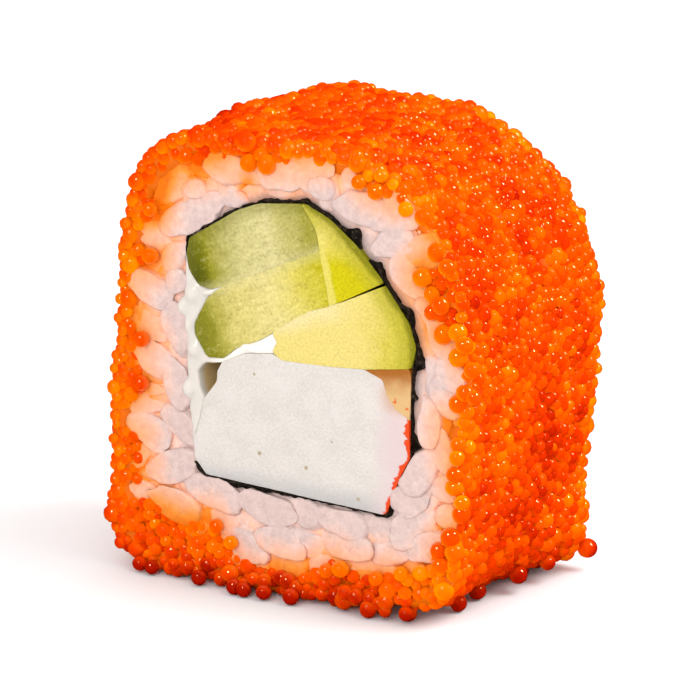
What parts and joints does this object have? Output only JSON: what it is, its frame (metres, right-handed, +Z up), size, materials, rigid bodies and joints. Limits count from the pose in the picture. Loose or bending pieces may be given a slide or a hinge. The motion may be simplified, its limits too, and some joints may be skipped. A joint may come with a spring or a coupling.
{
  "type": "california roll",
  "caption": "Inside-out sushi piece with a bumpy orange fish roe coat, a rice ring, seaweed, cucumber, avocado, crab stick and cream showing at both cut faces.",
  "frame": {"origin": "on the table under the middle of the piece", "axes": "+Z up, the roll's axis along Y with the cut face of the picture looking to -Y, +X to the right of that face"},
  "size_m": [0.0441, 0.0254, 0.0471],
  "materials": {
    "roe": "wet translucent orange fish eggs",
    "rice": "moist cooked rice, pinkish white, orange next to the roe",
    "nori": "dark damp seaweed sheet",
    "cucumber": "moist pale green flesh",
    "avocado": "smooth buttery yellow green flesh",
    "crab": "white fine-pored fish paste with a red skin on one side",
    "cream": "glossy white soft cheese"
  },
  "bodies": {
    "root": {"roe_coat": "roe", "rice": "rice", "nori": "nori", "cucumber_upper": "cucumber", "cucumber_lower": "cucumber", "avocado_upper": "avocado", "avocado_lower": "avocado", "crab_stick": "crab", "cream": "cream"}
  },
  "joints": []
}
